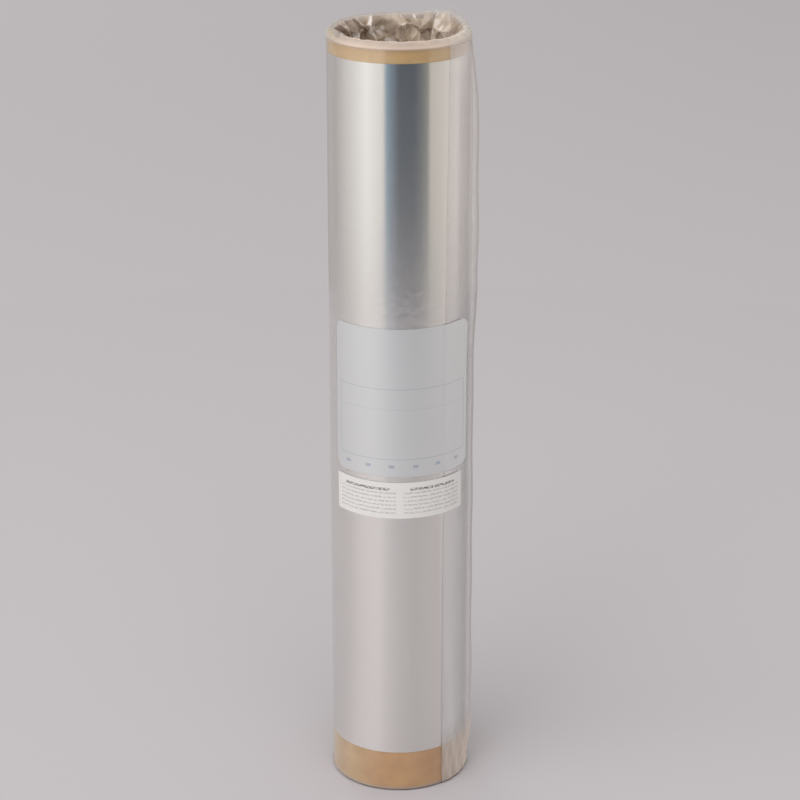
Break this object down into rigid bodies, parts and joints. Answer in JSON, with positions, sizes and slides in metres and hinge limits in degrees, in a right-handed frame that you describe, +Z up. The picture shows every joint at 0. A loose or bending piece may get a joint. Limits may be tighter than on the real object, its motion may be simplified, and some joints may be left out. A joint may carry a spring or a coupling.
{
  "type": "roll of stainless steel shim stock",
  "caption": "Thin stainless steel shim foil wound on a longer cardboard core, standing on end in a clear film bag tucked into its bore, with two blank paper labels on the front.",
  "frame": {"origin": "on the roll's axis, at the level of the ground that the roll stands on", "axes": "+Z up along the roll's axis, -Y towards the labelled front, +X towards the side where the bag's lap stands off"},
  "size_m": [0.0605, 0.0587, 0.3263],
  "materials": {
    "core_board": "spiral wound kraft board, matt",
    "stainless_foil": "bright cold-rolled stainless steel",
    "clear_film": "clear thin packing film, glossy",
    "label_paper": "pale silvery label paper, semi-gloss",
    "slip_paper": "white paper, matt"
  },
  "bodies": {
    "root": {"core_tube": "core_board", "foil_roll": "stainless_foil", "film_bag": "clear_film", "size_label": "label_paper", "paper_slip": "slip_paper"}
  },
  "joints": []
}
